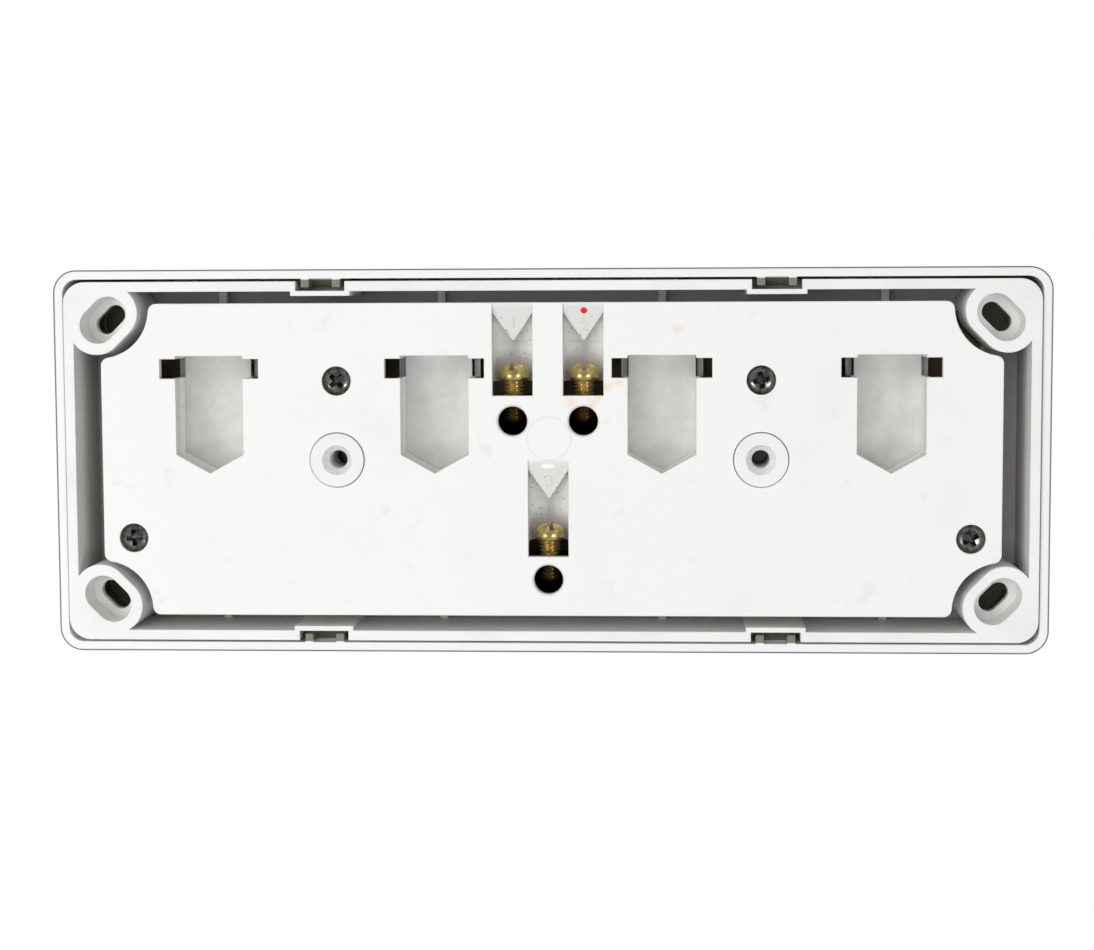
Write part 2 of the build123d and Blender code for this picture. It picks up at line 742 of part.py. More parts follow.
# Switched contact of each socket, from the fixed button down to the pin
arm_rear = knife_depth + fulcrum_height + arm_rest_gap
arm_front = arm_rear + strip_thickness
button_z = rocker_z - arm_down + 1.4
reach = rocker_z - button_z
closed_front = arm_front + reach * sin(radians(arm_throw / 2)) + button_height
for number, x in enumerate(socket_xs, 1):
    live_x = x - pin_reach_x
    with BuildPart() as active_contact:
        with BuildSketch(depth_plane(closed_front + button_gap)):
            with Locations((x, button_z)):
                Circle(button_diameter / 2)
        extrude(amount=live_strip_depth - closed_front - button_gap)
        strip(live_x - 1.5, button_z - 1.6, x + 1.8, button_z + 1.6, live_strip_depth)
        web_x = x - pin_reach_x + web_reach * sin(radians(pin_lean))
        web_z = line_z + (web_reach - clip_leaf / 2) * cos(radians(pin_lean))
        strip(live_x - 1.5, button_z, live_x + 1.5, web_z + 2.0, live_strip_depth)
        strip(live_x - 1.5, web_z + 3.0, web_x + 1.2, web_z - 0.4, live_strip_depth)
        pin_clip(live_x, line_z, -pin_lean, 1, live_strip_depth - live_clip_reach)
    write(active_contact.part, f"active_contact_{number}")

# Contact arm, its fulcrum at the origin, tipped into its rest pose when placed
with BuildPart() as contact_arm:
    with BuildSketch(Plane.XZ.offset(arm_rest_gap)):
        with Locations((0, (arm_up - arm_down) / 2)):
            RectangleRounded(arm_width, arm_up + arm_down, arm_corner)
    extrude(amount=strip_thickness)
    with BuildSketch(Plane.YZ):
        Circle(fulcrum_radius + fulcrum_play)
    extrude(amount=arm_width, both=True, mode=Mode.SUBTRACT)
    with BuildSketch(Plane.XZ.offset(arm_rest_gap + strip_thickness)):
        with Locations((0, -reach)):
            Circle(button_diameter / 2)
    extrude(amount=button_height)

# Rocker, drawn level with its pivot at the origin
tilt = radians(rocker_throw / 2)
face_middle = cover_depth + rocker_proud - rocker_pivot_depth
half_height = window_height / 2 - rocker_play
taper = sin(tilt) / cos(tilt)
face_end = face_middle + half_height * taper
rocker_width = window_width - 2 * rocker_play
with BuildPart() as rocker:
    with BuildSketch(Plane.YZ):
        with BuildLine():
            Polyline(
                (rocker_skirt, -half_height - rocker_skirt * taper),
                (-face_end, -half_height + face_end * taper),
                (-face_middle, 0),
                (-face_end, half_height - face_end * taper),
                (rocker_skirt, half_height + rocker_skirt * taper),
                close=True,
            )
        make_face()
    extrude(amount=rocker_width / 2, both=True)
    fillet(rocker.edges().filter_by(Axis.X).sort_by(Axis.Y)[0:2], 0.8)
    with BuildSketch(Plane.XZ.offset(-rocker_skirt)):
        Rectangle(rocker_width - 2 * rocker_wall, 2 * (half_height - rocker_wall - face_end * taper))
    extrude(amount=rocker_skirt + face_middle - 1.6, mode=Mode.SUBTRACT)
    with BuildSketch(Plane.XZ.offset(-spring_tube_reach)):
        Circle(spring_tube_diameter / 2)
    extrude(amount=spring_tube_reach + face_middle - 1.0)
    with BuildSketch(Plane.YZ):
        Circle(trunnion_diameter / 2)
    extrude(amount=rocker_width / 2 + rocker_play + trunnion_length, both=True)
    with BuildSketch(Plane.XZ.offset(-spring_tube_reach)):
        Circle(spring_bore / 2)
    extrude(amount=spring_tube_reach + face_middle - 1.8, mode=Mode.SUBTRACT)

# Plunger and spring, both in the rocker's bore
tip_reach = rocker_pivot_depth - arm_front - plunger_tip_gap
plunger_top = tip_reach - spring_tube_reach + plunger_grip
with BuildPart() as plunger:
    with BuildSketch(Plane.XZ.offset(-tip_reach)):
        Circle(plunger_diameter / 2)
    extrude(amount=plunger_top)
    fillet(plunger.edges().sort_by(Axis.Y)[-1], plunger_diameter / 2 - 0.2)

spring_start = plunger_top - tip_reach
spring_length = face_middle - 1.8 - spring_start
with BuildPart() as rocker_spring:
    with BuildLine() as coil:
        Helix(
            pitch=(spring_length - 2 * spring_wire) / spring_turns,
            height=spring_length - 2 * spring_wire,
            radius=spring_bore / 2 - spring_wire,
            center=(0, -spring_start - spring_wire, 0),
            direction=(0, -1, 0),
        )
    with BuildSketch(Plane(origin=coil.line @ 0, z_dir=coil.line % 0)):
        Rectangle(spring_wire, spring_wire)
    sweep(is_frenet=True)

for number, x in enumerate(socket_xs, 1):
    rocker_place = Location((x, -rocker_pivot_depth, rocker_z), (-rocker_throw / 2, 0, 0))
    arm_place = Location((x, -knife_depth - fulcrum_height, rocker_z), (arm_throw / 2, 0, 0))
    write(rocker.part.moved(rocker_place), f"rocker_{number}")
    write(plunger.part.moved(rocker_place), f"plunger_{number}")
    write(rocker_spring.part.moved(rocker_place), f"rocker_spring_{number}")
    write(contact_arm.part.moved(arm_place), f"contact_arm_{number}")
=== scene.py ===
import math

import bpy
from mathutils import Matrix, Quaternion, Vector


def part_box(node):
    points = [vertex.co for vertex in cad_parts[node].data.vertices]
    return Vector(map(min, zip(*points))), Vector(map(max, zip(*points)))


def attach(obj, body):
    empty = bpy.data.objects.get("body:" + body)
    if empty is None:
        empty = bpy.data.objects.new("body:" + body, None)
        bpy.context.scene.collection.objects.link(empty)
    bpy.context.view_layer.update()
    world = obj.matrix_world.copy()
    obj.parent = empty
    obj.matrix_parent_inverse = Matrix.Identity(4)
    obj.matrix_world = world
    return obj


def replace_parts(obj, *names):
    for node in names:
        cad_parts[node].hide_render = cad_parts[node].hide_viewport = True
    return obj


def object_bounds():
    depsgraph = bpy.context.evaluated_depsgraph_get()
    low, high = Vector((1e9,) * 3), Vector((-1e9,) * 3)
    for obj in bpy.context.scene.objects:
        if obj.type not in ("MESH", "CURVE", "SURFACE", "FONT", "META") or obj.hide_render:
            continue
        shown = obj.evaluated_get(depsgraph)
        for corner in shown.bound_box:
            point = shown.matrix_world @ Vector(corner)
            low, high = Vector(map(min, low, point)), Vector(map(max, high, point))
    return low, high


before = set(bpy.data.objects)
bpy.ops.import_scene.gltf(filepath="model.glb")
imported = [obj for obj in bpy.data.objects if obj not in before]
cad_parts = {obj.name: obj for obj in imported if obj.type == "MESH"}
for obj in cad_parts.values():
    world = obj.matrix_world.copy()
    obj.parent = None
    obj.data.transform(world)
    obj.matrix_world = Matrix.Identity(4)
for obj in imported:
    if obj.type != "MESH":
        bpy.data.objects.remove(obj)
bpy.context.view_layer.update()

MM = 0.001
BODY = "housing"

# The photograph is taken from behind the plate: camera place, the point it looks at, its roll and its lens
CAMERA_PLACE_MM = (-24.3, 450.0, 35.7)
CAMERA_AIM_MM = (0.2, 0.0, -2.95)
CAMERA_ROLL_DEG = 0.25
FOCAL_PIXELS = 2287.0
IMAGE_WIDTH = 1094
SENSOR_MM = 36.0

# Area lamps: name, place in mm, edge length in metres, watts, and whether shiny surfaces mirror them
LAMPS = [("key", (350, 950, 180), 1.0, 5.8, False),
         ("left", (560, 850, -300), 0.3, 1.9, True),
         ("right", (-560, 850, -300), 0.3, 1.9, True)]

# World light: all round, straight behind the camera, and added on the room side
DOME_LIGHT = 0.42
DOME_BEHIND_CAMERA = 0.2
DOME_ROOM_SIDE = 0.4

# Backdrop: how far in front of the room side it hangs, and half its edge length, in metres
BACKDROP_GAP = 2.5
BACKDROP_HALF = 2.0

# Screws, in mm: each head's outline as radius and height above its seat,
# and each thread as outer radius, root radius and pitch
TERMINAL_HEAD = [(1.95, -0.25), (1.95, 0.0), (2.25, 0.0), (2.55, 0.14), (2.8, 0.42), (2.97, 0.85),
                 (3.05, 1.35), (3.03, 1.85), (2.92, 2.3), (2.7, 2.7), (2.35, 3.05), (1.9, 3.33),
                 (1.3, 3.55), (0.7, 3.67), (0.3, 3.7)]
HOUSING_HEAD = [(1.45, -0.1), (1.5, 0.0), (2.7, 0.0), (2.85, 0.12), (2.85, 0.62), (2.74, 0.95),
                (2.45, 1.28), (1.95, 1.55), (1.3, 1.72), (0.6, 1.79)]
TERMINAL_THREAD = (2.2, 1.74, 0.76)
HOUSING_THREAD = (1.45, 1.15, 0.9)
TIP_TAPER = 0.9
HEAD_MIDDLE_BELOW_TOP = 2.6

# Screw meshes: the tip's share of the root radius, the flat share of the pitch at root and crest,
# rings in one turn of a thread, points in a ring, and the angle from which an edge stays sharp
TIP_SHARE = 0.6
THREAD_FLAT = 0.15
RINGS_PER_TURN = 8
RING_POINTS = 64
CREASE_DEG = 35.0

# Arms of the driver recesses, in mm: length and width at the top, the same at the bottom,
# and both levels, counted from the top of the head
TERMINAL_SLOT = (7.0, 1.0, 7.0, 0.9, 1.0, -1.4)
TERMINAL_CROSS = (5.0, 1.0, 3.2, 0.7, 0.2, -1.5)
HOUSING_CROSS = (4.1, 1.15, 1.7, 0.5, 0.51, -1.49)

# How far each screw is turned, in radians
TERMINAL_TURNS = {"neutral": 1.45, "active": 1.62, "earth": 1.75}
HOUSING_TURNS = (0.2, 0.75, 0.5, 0.1)
TERMINAL_SCREWS = [f"{terminal}_terminal_screw" for terminal in TERMINAL_TURNS]

# Marks and stains on the rear cover, each at an x and z in mm; a stain also has a radius and a strength,
# and a dab half its width, half its height and its thickness. A dab's rows are shares of its size and
# of its thickness. The search for the slope under a mark starts so far behind the wall plane.
MARK_HEIGHT = 2.5
MARK_RAISE = 0.1
TEXT_EXTRUDE = 0.05
TEXT_BEVEL = 0.01
MARKS = [("1", 6.9, 27.3), ("2", -7.1, 26.6), ("3", -0.1, -4.2)]
RED_DOT_PLACE = (-7.15, 29.5)
RED_DOT_SIZE = (0.68, 0.68, 0.12)
# A white dab on the earth terminal's slope is a painted highlight
HIGHLIGHT_DAB_PLACE = (0.0, -1.35)
HIGHLIGHT_DAB_SIZE = (1.4, 0.55, 0.25)
DAB_POINTS = 24
DAB_ROWS = [(1.0, 0.0), (0.9, 0.6), (0.6, 0.92), (0.25, 1.0)]
SEARCH_START = 20.0
GATE_PLACE = (-0.2, 4.2)
GATE_RADIUS = 4.3
STAINS = [((-4.6, 11.3), 1.9, 0.55), ((-3.2, 13.2), 1.5, 0.45), ((-8.8, 11.2), 1.7, 0.45),
          ((-10.2, 12.4), 1.4, 0.4), ((-11.6, 14.4), 1.5, 0.6), ((-12.7, 14.9), 0.9, 0.4),
          ((-14.1, 15.3), 1.2, 0.6), ((-25.5, 25.8), 1.6, 0.45), ((-11.4, 7.6), 1.4, 0.25),
          ((-15.2, 19.4), 1.2, 0.3)]

# Shell: radius of its outer corners in mm, and distances inwards from its outer face, in mm
COVER_CORNER = 4.6
EDGE_LINE_INWARD = (0.36, 0.2)
WALL_INWARD = (1.95, 2.1)

# Limits at which a shade starts and is full, in metres; a depth is a negative y, a side and a level are
# distances from the middle, and a tip's limits count from the screw's axis and from its lower end
LIP_DEPTH = (-0.0015, -0.0011)
HOOK_DEPTH = (-0.013, -0.012)
SHELL_CORNER_DEPTH = (-0.0222, -0.0218)
SHELL_CORNER_SIDE = (0.082, 0.083)
ROOM_SIDE_DEPTH = (-0.0205, -0.0195)
SIDE_GAP_SIDE = (0.0872, 0.0882)
SIDE_GAP_DEPTH = (-0.003, -0.019)
GAP_FLOOR_DEPTH = (-0.0172, -0.0186)
GAP_FLOOR_LEVEL = (0.0304, 0.0307)
GAP_CORNER_DEPTH = (-0.0088, -0.0095)
GAP_CORNER_LEVEL = (0.0225, 0.0235)
WORKS_SIDE = (0.0872, 0.0868)
WORKS_LEVEL = (0.02905, 0.0288)
WORKS_DEPTH = (-0.0126, -0.0145)
HOLLOW_DEPTH = (-0.0012, -0.0022)
TONGUE_START_DEPTH = (-0.0003, -0.0009)
TONGUE_END_DEPTH = (-0.0055, -0.004)
FLOOR_DEPTH = (-0.0094, -0.0098)
NEAR_HEAD_DISTANCE = (0.0068, 0.003)
GATE_LINE = (0.0002, 0.00004)
TIP_SIDE = (0.0034, 0.0032)
TIP_TOP = (0.0044, 0.0036)
TIP_BOTTOM = (-0.0012, -0.001)

# Depth in mm over which unlit metal turns dark
UNLIT_FADE = 0.4

# Linear colours
SHELL_WHITE = (0.9, 0.9, 0.885, 1)
SHELL_CLOUD = (0.8, 0.8, 0.79, 1)
EDGE_SHADE_BLUE = (0.07, 0.08, 0.16, 1)
HOOK_SHADE_OLIVE = (0.14, 0.14, 0.09, 1)
SHELL_CORNER_SHADE = (0.28, 0.28, 0.19, 1)
FRAME_WHITE = (0.89, 0.89, 0.87, 1)
FRAME_CLOUD = (0.76, 0.76, 0.73, 1)
SIDE_GAP_SHADE = (0.42, 0.4, 0.385, 1)
GAP_FLOOR_SHADE = (0.42, 0.4, 0.41, 1)
GAP_CORNER_SHADE = (0.14, 0.14, 0.1, 1)
WORKS_SHADE_BROWN = (0.26, 0.18, 0.12, 1)
FRAME_SPECK = (0.3, 0.28, 0.24, 1)
PLATE_WHITE = (0.91, 0.91, 0.9, 1)
PLATE_CLOUD = (0.8, 0.81, 0.79, 1)
SMUDGE_GREY = (0.66, 0.66, 0.62, 1)
STAIN_TAN = (0.88, 0.64, 0.4, 1)
TONGUE_SHADE = (0.73, 0.735, 0.705, 1)
FLOOR_SHADE_GREY = (0.65, 0.655, 0.62, 1)
FLOOR_SHADE_PALE = (0.74, 0.745, 0.715, 1)
DUST_DARK = (0.2, 0.19, 0.17, 1)
PLATE_SPECK = (0.3, 0.29, 0.27, 1)
NEAR_HEAD_BROWN = (0.2, 0.17, 0.13, 1)
GATE_GREY = (0.5, 0.55, 0.64, 1)
UNLIT_METAL = (0.012, 0.009, 0.008, 1)
TIP_BROWN = (0.1, 0.05, 0.015, 1)
WHITE = (1.0, 1.0, 1.0, 1)
BACKDROP_GREY = (0.85, 0.85, 0.85, 1)


def mm(x, y, z):
    """A point given in millimetres, as a vector in metres."""
    return Vector((x, y, z)) * MM


class Nodes:
    """Short way to wire one node tree."""

    def __init__(self, tree, coordinates="Object"):
        self.tree = tree
        self.place = self.add("ShaderNodeTexCoord").outputs[coordinates]

    def add(self, kind, inputs=None, **settings):
        """New node with its settings made and its inputs set or linked."""
        node = self.tree.nodes.new(kind)
        for key, value in settings.items():
            setattr(node, key, value)
        for key, value in (inputs or {}).items():
            self.put(node.inputs[key], value)
        return node

    def put(self, socket, value):
        """Link a socket to another one, or give it a plain value."""
        if isinstance(value, bpy.types.NodeSocket):
            self.tree.links.new(value, socket)
        else:
            socket.default_value = value

    def remap(self, value, low, high, to_low=0.0, to_high=1.0, curve="SMOOTHSTEP"):
        """Value between two limits, mapped to two others and held at the ends."""
        return self.add("ShaderNodeMapRange", {"Value": value, "From Min": low, "From Max": high,
                                               "To Min": to_low, "To Max": to_high},
                        interpolation_type=curve).outputs["Result"]

    def math(self, operation, a, b=0.0):
        """Result of one operation on two values."""
        return self.add("ShaderNodeMath", {0: a, 1: b}, operation=operation).outputs[0]

    def product(self, first, *others):
        """All values multiplied."""
        for other in others:
            first = self.math("MULTIPLY", first, other)
        return first

    def axes(self):
        """Outputs X, Y and Z of the place."""
        return self.add("ShaderNodeSeparateXYZ", {"Vector": self.place}).outputs


class Surface(Nodes):
    """Nodes of one material."""

    def __init__(self, name):
        self.material = bpy.data.materials.new(name)
        self.material.use_nodes = True
        super().__init__(self.material.node_tree)
        self.shader = self.tree.nodes["Principled BSDF"]

    def noise(self, scale, detail=3.0, roughness=0.5):
        """Plain noise over the place."""
        return self.add("ShaderNodeTexNoise", {"Vector": self.place, "Scale": scale, "Detail": detail,
                                               "Roughness": roughness}).outputs["Fac"]

    def patches(self, limits, most, **noise):
        """Soft patches where a noise rises through its limits, up to a greatest strength."""
        return self.remap(self.noise(**noise), *limits, 0.0, most)

    def mix(self, factor, a, b):
        """Colour a turned to colour b by a factor."""
        return self.add("ShaderNodeMix", {"Factor": factor, "A": a, "B": b},
                        data_type="RGBA").outputs["Result"]

    def across(self, x, z):
        """Distance in the wall plane from one point given in mm, in metres."""
        flat = self.add("ShaderNodeVectorMath", {0: self.place, 1: (1, 0, 1)}, operation="MULTIPLY")
        return self.add("ShaderNodeVectorMath", {0: flat.outputs[0], 1: (x * MM, 0, z * MM)},
                        operation="DISTANCE").outputs["Value"]

    def grain(self, scale, strength, edge):
        """Fine surface grain over edges softly rounded by a radius in mm."""
        bevel = self.add("ShaderNodeBevel", {"Radius": edge * MM}, samples=4)
        return self.add("ShaderNodeBump", {"Height": self.noise(scale, 2.0), "Strength": strength,
                                           "Distance": 0.0001,
                                           "Normal": bevel.outputs["Normal"]}).outputs["Normal"]

    def specks(self, density, size, share):
        """Small specks, only where a broad noise is high."""
        cells = self.add("ShaderNodeTexVoronoi", {"Vector": self.place, "Scale": density})
        speck = self.remap(cells.outputs["Distance"], size, size * 0.45)
        patch = self.remap(self.noise(90.0, 2.0), 1.0 - share, 1.05 - share)
        return self.product(speck, patch)

    def shade(self, color, roughness, bump):
        """The finished material."""
        self.put(self.shader.inputs["Base Color"], color)
        self.put(self.shader.inputs["Roughness"], roughness)
        self.put(self.shader.inputs["Normal"], bump)
        return self.material


def cover_plastic():
    """Glossy shell, cloudy, with painted shade: a dark edge line, olive inner walls at the hooks, grey
    inner corners.
    """
    n = Surface("cover_plastic")
    x, y, z = n.axes()
    cloud = n.patches((0.45, 0.75), 0.25, scale=60.0, detail=4.0)
    color = n.mix(cloud, SHELL_WHITE, SHELL_CLOUD)

    # Distance outwards from the core of the shell's rounded outline: COVER_CORNER mm at its outer face
    low, high = (Vector(corner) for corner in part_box("front_cover"))
    half = (high - low) / 2
    side = n.math("ABSOLUTE", x)
    level = n.math("ABSOLUTE", n.math("SUBTRACT", z, (high.z + low.z) / 2))
    beyond = [n.math("SUBTRACT", side, half.x - COVER_CORNER * MM),
              n.math("SUBTRACT", level, half.z - COVER_CORNER * MM)]
    squares = [n.math("POWER", n.math("MAXIMUM", distance, 0.0), 2.0) for distance in beyond]
    outward = n.math("SQRT", n.math("ADD", *squares))

    # Painted shade: a thin dark blue line along the shell's outer edge near the lip
    line = n.remap(outward, *((COVER_CORNER - inward) * MM for inward in EDGE_LINE_INWARD))
    color = n.mix(n.product(line, n.remap(y, *LIP_DEPTH), 0.9), color, EDGE_SHADE_BLUE)
    inside = n.remap(outward, *((COVER_CORNER - inward) * MM for inward in WALL_INWARD))
    # Painted shade: olive on the shell's inner walls, from the lip down to the hooks' depth
    color = n.mix(n.product(inside, n.remap(y, *HOOK_DEPTH, 0.0, 0.9)), color, HOOK_SHADE_OLIVE)
    # Painted shade: grey on the shell's inner walls at its corners
    corner = n.product(n.remap(side, *SHELL_CORNER_SIDE), n.remap(y, *SHELL_CORNER_DEPTH))
    color = n.mix(n.product(inside, corner), color, SHELL_CORNER_SHADE)
    return n.shade(color, 0.3, n.grain(scale=2400.0, strength=0.05, edge=0.3))


def frame_plastic():
    """Moulded frame: white outside, with painted shade: grey towards the bottom of the gap, dark inside the
    works.
    """
    n = Surface("frame_plastic")
    x, y, z = n.axes()
    side = n.math("ABSOLUTE", x)
    level = n.math("ABSOLUTE", z)
    cloud = n.patches((0.42, 0.72), 0.45, scale=75.0, detail=4.0)
    color = n.mix(cloud, FRAME_WHITE, FRAME_CLOUD)
    room_side = n.remap(y, *ROOM_SIDE_DEPTH)
    side_gap = n.product(room_side, n.remap(side, *SIDE_GAP_SIDE))
    # Painted shade: the frame's surfaces in the side gaps grow grey with depth
    color = n.mix(n.product(n.remap(y, *SIDE_GAP_DEPTH, 0.0, 0.85), side_gap), color, SIDE_GAP_SHADE)
    # Painted shade: the frame turns grey at the bottom of the top and bottom gaps
    floor = n.product(n.remap(y, *GAP_FLOOR_DEPTH, 0.0, 0.75), n.remap(level, *GAP_FLOOR_LEVEL), room_side)
    color = n.mix(floor, color, GAP_FLOOR_SHADE)
    # Painted shade: dark olive deep in the corners of the side gaps
    corner = n.product(n.remap(level, *GAP_CORNER_LEVEL), n.remap(y, *GAP_CORNER_DEPTH, 0.0, 0.8), side_gap)
    color = n.mix(corner, color, GAP_CORNER_SHADE)
    # Painted shade: dark brown on the frame deep inside the works
    works = n.product(n.remap(side, *WORKS_SIDE), n.remap(level, *WORKS_LEVEL), room_side,
                      n.remap(y, *WORKS_DEPTH))
    color = n.mix(works, color, WORKS_SHADE_BROWN)
    color = n.mix(n.product(n.specks(density=420.0, size=0.07, share=0.42), 0.5), color, FRAME_SPECK)
    return n.shade(color, 0.42, n.grain(scale=2000.0, strength=0.08, edge=0.3))


def plate_plastic():
    """Rear cover: white, soft grey smudges, warm stains, dusty hollows, gate mark; painted shade in its
    recesses.
    """
    n = Surface("plate_plastic")
    y = n.axes()["Y"]
    cloud = n.patches((0.5, 0.8), 0.4, scale=48.0, detail=5.0, roughness=0.6)
    color = n.mix(cloud, PLATE_WHITE, PLATE_CLOUD)
    smudge = n.patches((0.61, 0.74), 0.3, scale=130.0, detail=3.0, roughness=0.6)
    color = n.mix(smudge, color, SMUDGE_GREY)
    for place, radius, strength in STAINS:
        color = n.mix(n.remap(n.across(*place), radius * MM, 0.0, 0.0, strength), color, STAIN_TAN)
    hollow = n.remap(y, *HOLLOW_DEPTH)
    # Painted shade: grey on the sloping tongues of the channels
    tongue = n.product(n.remap(y, *TONGUE_START_DEPTH, 0.0, 0.75), n.remap(y, *TONGUE_END_DEPTH))
    color = n.mix(tongue, color, TONGUE_SHADE)
    # Painted shade: the deep pocket floors are grey, mottled lighter and darker
    floor = n.remap(y, *FLOOR_DEPTH)
    mottle = n.patches((0.3, 0.7), 1.0, scale=210.0, detail=4.0, roughness=0.65)
    color = n.mix(floor, color, n.mix(mottle, FLOOR_SHADE_GREY, FLOOR_SHADE_PALE))
    dusty = n.product(hollow, n.math("SUBTRACT", 0.85, n.product(floor, 0.7)))
    color = n.mix(n.product(n.specks(density=820.0, size=0.19, share=0.72), dusty), color, DUST_DARK)
    color = n.mix(n.product(n.specks(density=160.0, size=0.028, share=0.5), 0.45), color, PLATE_SPECK)
    for node in TERMINAL_SCREWS:
        low, high = (Vector(corner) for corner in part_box(node))
        head_middle = (low.x / MM + high.x / MM) / 2, high.z / MM - HEAD_MIDDLE_BELOW_TOP
        # Darker brown in the hollows round each terminal screw's head
        near_head = n.product(n.remap(n.across(*head_middle), *NEAR_HEAD_DISTANCE, 0.0, 0.4), hollow)
        color = n.mix(near_head, color, NEAR_HEAD_BROWN)
    off_ring = n.math("ABSOLUTE", n.math("SUBTRACT", n.across(*GATE_PLACE), GATE_RADIUS * MM))
    color = n.mix(n.remap(off_ring, *GATE_LINE, 0.0, 0.3), color, GATE_GREY)
    return n.shade(color, 0.46, n.grain(scale=1900.0, strength=0.09, edge=0.28))


def metal(name, bright, dark, roughness, deep_from=None, metallic=1.0, shaded_tips=False):
    """Worn metal: cloudy tarnish in colour and gloss, and nearly black from a depth in mm on.

    Shaded tips are the lower ends of the terminal screws, in the dark behind the conductor entries.
    """
    n = Surface(name)
    tarnish = n.noise(900.0, 5.0, 0.62)
    color = n.mix(n.remap(tarnish, 0.4, 0.68), bright, dark)
    if deep_from is not None:
        unlit = n.remap(n.axes()["Y"], -deep_from * MM, -(deep_from + UNLIT_FADE) * MM)
        color = n.mix(unlit, color, UNLIT_METAL)
    if shaded_tips:
        axes = n.axes()
        for node in TERMINAL_SCREWS:
            low, high = (Vector(corner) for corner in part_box(node))
            aside = n.math("ABSOLUTE", n.math("SUBTRACT", axes["X"], (low.x + high.x) / 2))
            below = n.remap(axes["Z"], *(low.z + limit for limit in TIP_TOP))
            above = n.remap(axes["Z"], *(low.z + limit for limit in TIP_BOTTOM))
            color = n.mix(n.product(n.remap(aside, *TIP_SIDE), below, above, 0.85), color, TIP_BROWN)
    n.shader.inputs["Metallic"].default_value = metallic
    gloss = n.remap(tarnish, 0.35, 0.7, roughness - 0.08, roughness + 0.16)
    bump = n.add("ShaderNodeBump", {"Height": n.noise(3200.0, 3.0), "Strength": 0.12, "Distance": 0.00005})
    return n.shade(color, gloss, bump.outputs["Normal"])


def paint_and_highlight(name, color, roughness):
    """Small dab of one colour, a little uneven: the red dot, and the white dab's painted highlight."""
    n = Surface(name)
    darker = tuple(part * 0.7 for part in color[:3]) + (1,)
    uneven = n.mix(n.patches((0.35, 0.7), 0.2, scale=1500.0), color, darker)
    return n.shade(uneven, roughness, n.grain(scale=3000.0, strength=0.1, edge=0.05))


def backdrop_material():
    """Pale sheet that the camera and mirroring or clear surfaces see as plain white."""
    n = Surface("backdrop")
    n.tree.nodes.remove(n.shader)
    diffuse = n.add("ShaderNodeBsdfDiffuse", {"Color": BACKDROP_GREY})
    glow = n.add("ShaderNodeEmission", {"Color": WHITE, "Strength": 1.0})
    path = n.add("ShaderNodeLightPath")
    seen = n.math("MAXIMUM", path.outputs["Is Camera Ray"], path.outputs["Is Glossy Ray"])
    seen = n.math("MAXIMUM", seen, path.outputs["Is Transmission Ray"])
    mix = n.add("ShaderNodeMixShader", {0: seen, 1: diffuse.outputs[0], 2: glow.outputs[0]})
    n.put(n.tree.nodes["Material Output"].inputs["Surface"], mix.outputs[0])
    return n.material


cover_material = cover_plastic()
frame_material = frame_plastic()
plate_material = plate_plastic()
brass_material = metal("brass", (0.82, 0.66, 0.27, 1), (0.5, 0.36, 0.12, 1), 0.19,
                       metallic=0.85, shaded_tips=True)
block_material = metal("terminal_brass", (0.5, 0.36, 0.18, 1), (0.24, 0.16, 0.08, 1), 0.45, deep_from=2.7)
strip_material = metal("strip_brass", (0.3, 0.2, 0.11, 1), (0.14, 0.09, 0.05, 1), 0.5)
steel_material = metal("steel", (0.3, 0.29, 0.27, 1), (0.07, 0.068, 0.06, 1), 0.25)
spring_material = metal("spring_steel", (0.5, 0.5, 0.49, 1), (0.3, 0.3, 0.3, 1), 0.3)
red_material = paint_and_highlight("red_paint", (0.85, 0.02, 0.006, 1), 0.55)
highlight_material = paint_and_highlight("painted_highlight", WHITE, 0.3)


def node_material(node):
    """The material that one CAD node wears."""
    if node == "base_frame" or node.startswith("plunger"):
        return frame_material
    if node == "rear_cover":
        return plate_material
    if node.startswith("rocker_spring"):
        return spring_material
    if node == "front_cover" or node.startswith("rocker"):
        return cover_material
    if node.startswith("housing_screw"):
        return steel_material
    if node.endswith("_terminal"):
        return block_material
    if node.endswith("_screw"):
        return brass_material
    return strip_material


for node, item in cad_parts.items():
    item.data.materials.clear()
    item.data.materials.append(node_material(node))


def put_piece(name, mesh, material):
    """One new piece on the housing, shaded smooth with sharp creases kept."""
    item = bpy.data.objects.new(name, mesh)
    mesh.materials.clear()
    mesh.materials.append(material)
    bpy.context.collection.objects.link(item)
    mesh.shade_smooth()
    mesh.set_sharp_from_angle(angle=math.radians(CREASE_DEG))
    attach(item, BODY)
    return item


def circle(count):
    """Cosine and sine of as many angles, evenly spaced round a circle."""
    angles = [2 * math.pi * i / count for i in range(count)]
    return [(math.cos(angle), math.sin(angle)) for angle in angles]


def ring_mesh(name, rings, closed_below=True):
    """Mesh through rings of points given in mm, from the lowest ring to the top one, which is filled."""
    count = len(rings[0])
    faces = []
    for row in range(len(rings) - 1):
        for i in range(count):
            a = row * count + i
            b = row * count + (i + 1) % count
            faces.append((a, b, b + count, a + count))
    if closed_below:
        faces.append(tuple(reversed(range(count))))
    last = (len(rings) - 1) * count
    faces.append(tuple(range(last, last + count)))
    mesh = bpy.data.meshes.new(name)
    mesh.from_pydata([tuple(value * MM for value in point) for ring in rings for point in ring], [], faces)
    return mesh


def screw_ring(radii, height):
    """Ring of points round Z at one height, each at its own radius."""
    return [(radius * cos, radius * sin, height) for radius, (cos, sin) in zip(radii, circle(RING_POINTS))]


